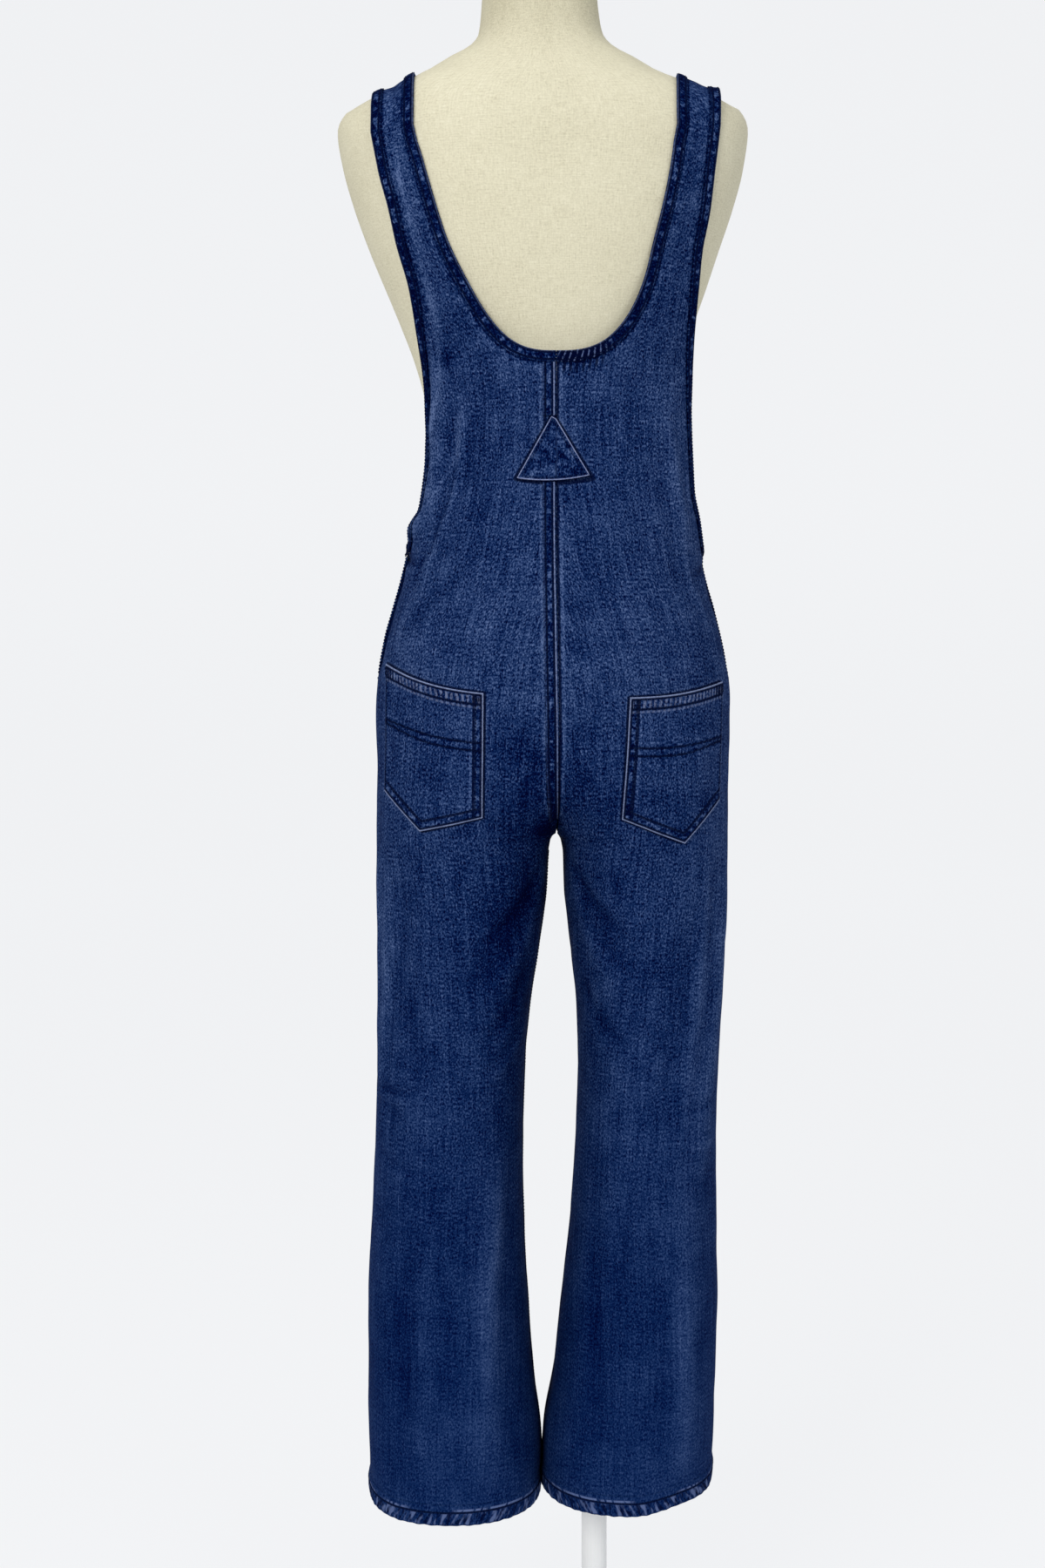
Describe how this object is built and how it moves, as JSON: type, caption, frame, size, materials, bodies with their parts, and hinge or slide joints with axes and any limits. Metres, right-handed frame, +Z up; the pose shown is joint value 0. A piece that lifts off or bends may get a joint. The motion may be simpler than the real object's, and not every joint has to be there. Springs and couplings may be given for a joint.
{
  "type": "denim dungarees on a dress form",
  "caption": "Sleeveless denim dungarees with a scooped back, patch pockets and side openings, hung on a limbless linen dress form that stands on a pole and a round base.",
  "frame": {"origin": "centre of the round base's underside, on the floor", "axes": "+Z up, the wearer's back faces -Y and the wearer's right side is +X"},
  "size_m": [0.416, 0.416, 1.719],
  "materials": {
    "denim": "matt indigo twill",
    "denim_edge": "matt indigo twill, darker where it is turned",
    "form_linen": "matt natural linen",
    "stand_paint": "satin pale grey",
    "button_metal": "aged"
  },
  "bodies": {
    "root": {"back_panel_left": "denim", "back_panel_right": "denim", "front_panel_left": "denim", "front_panel_right": "denim", "back_pocket_left": "denim", "back_pocket_right": "denim", "triangle_patch": "denim", "armhole_band_back_left": "denim_edge", "armhole_band_back_right": "denim_edge", "armhole_band_front_left": "denim_edge", "armhole_band_front_right": "denim_edge", "neck_band_back_left": "denim_edge", "neck_band_back_right": "denim_edge", "neck_band_front_left": "denim_edge", "neck_band_front_right": "denim_edge", "back_fell_upper": "denim_edge", "back_fell_lower": "denim_edge", "front_fell": "denim_edge", "leg_hem_left": "denim_edge", "leg_hem_right": "denim_edge", "side_placket_left": "denim_edge", "side_placket_right": "denim_edge", "side_button_upper_left": "button_metal", "side_button_lower_left": "button_metal", "side_button_upper_right": "button_metal", "side_button_lower_right": "button_metal", "form_torso": "form_linen", "stand_pole": "stand_paint", "stand_socket": "stand_paint", "stand_base": "stand_paint"}
  },
  "joints": []
}
